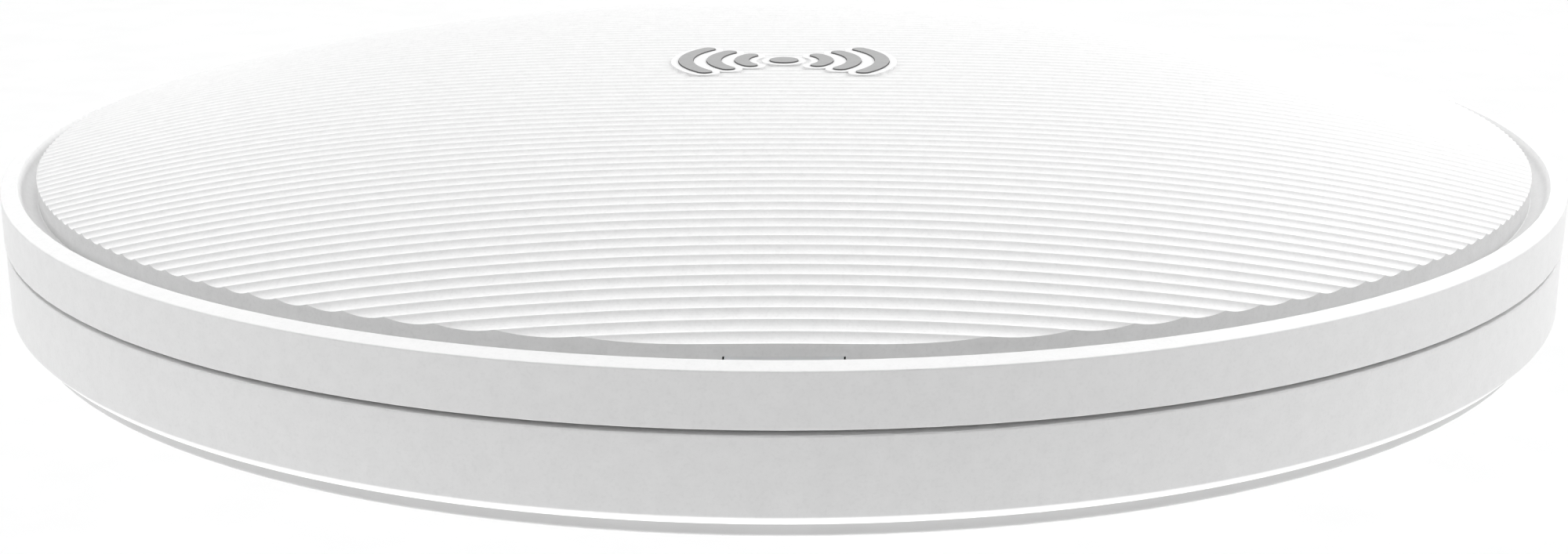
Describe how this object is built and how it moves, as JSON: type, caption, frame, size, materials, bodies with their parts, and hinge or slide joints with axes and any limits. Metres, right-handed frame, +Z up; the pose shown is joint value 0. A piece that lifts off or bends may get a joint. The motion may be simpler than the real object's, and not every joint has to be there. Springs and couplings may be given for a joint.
{
  "type": "ceiling access point",
  "caption": "Round white ceiling access point: ridged shallow dome in a rimmed two-part housing, twist-locked on a flat ceiling bracket, sockets in a recess behind.",
  "frame": {"origin": "centre of the ceiling bracket's back face, on the ceiling plane, under the centre of the round housing", "axes": "+Z out of the ceiling towards the room (the dome's crown), -Y towards the side with the status light, +X to the right seen from that side with +Z up"},
  "size_m": [0.18, 0.18, 0.0352],
  "materials": {
    "housing_plastic": "fine spark-eroded texture, white",
    "dome_plastic": "fine matt, white, moulded with parallel ridges",
    "cast_base": "die-cast aluminium, white powder coat",
    "bracket_steel": "zinc-plated pressed steel",
    "spring_steel": "blued strip",
    "dark_plastic": "black moulded plastic",
    "emblem_grey": "satin grey inlay",
    "light_guide_plastic": "milky polycarbonate",
    "circuit_board": "green solder mask",
    "chip_package": "black epoxy",
    "thermal_pad": "soft grey silicone",
    "tinplate": "bright tinplate",
    "ferrite": "matt ferrite",
    "capacitor_can": "brushed can",
    "led_package": "clear resin",
    "jack_shell": "nickel-plated shell",
    "gold_contact": "gold flash",
    "coax_jacket": "thin black jacket",
    "label_foil": "silver-grey polyester label, blank",
    "screw_steel": "zinc-plated"
  },
  "bodies": {
    "bracket": {"ceiling_bracket": "bracket_steel", "latch_spring": "spring_steel"},
    "latch": {"latch_slide": "dark_plastic"},
    "housing": {"back_plate": "cast_base", "rating_label": "label_foil", "lower_housing": "housing_plastic", "front_bezel": "housing_plastic", "dome_cover": "dome_plastic", "emblem_inlays": "emblem_grey", "light_guide": "light_guide_plastic", "main_board": "circuit_board", "processor_chip": "chip_package", "processor_thermal_pad": "thermal_pad", "radio_chips": "chip_package", "radio_thermal_pads": "thermal_pad", "memory_chips": "chip_package", "shield_can_left": "tinplate", "shield_can_right": "tinplate", "power_inductors": "ferrite", "filter_capacitors": "capacitor_can", "status_led": "led_package", "poe_transformer": "ferrite", "ethernet_jack": "jack_shell", "ethernet_jack_contacts": "gold_contact", "console_jack": "jack_shell", "console_jack_contacts": "gold_contact", "power_jack": "dark_plastic", "power_jack_pin": "tinplate", "reset_switch": "chip_package", "antenna_low_band_left": "tinplate", "antenna_low_band_right": "tinplate", "antenna_high_band_left": "tinplate", "antenna_high_band_right": "tinplate", "low_band_coax_left": "coax_jacket", "low_band_coax_right": "coax_jacket", "high_band_coax_left": "coax_jacket", "high_band_coax_right": "coax_jacket", "coax_connectors": "gold_contact", "board_screws": "screw_steel", "housing_screws": "screw_steel"},
    "button": {"reset_button": "dark_plastic"}
  },
  "joints": [
    {"name": "twist_lock", "type": "hinge", "parent": "bracket", "child": "housing", "pos_m": [0, 0, 0], "axis": [0, 0, 1], "range_deg": [0, 15]},
    {"name": "latch_release", "type": "slide", "parent": "bracket", "child": "latch", "axis": [0, 1, 0], "range_m": [0, 0.0016], "stiffness_N_per_m": 400, "springref_m": -0.002, "deforming": ["latch_spring"]},
    {"name": "reset_press", "type": "slide", "parent": "housing", "child": "button", "axis": [0, 1, 0], "range_m": [0, 0.0006], "stiffness_N_per_m": 800, "springref_m": -0.0008}
  ],
  "couplings": [
    {"joint": "latch_release", "follows": "twist_lock", "m_per_rad": 0.0057296}
  ]
}
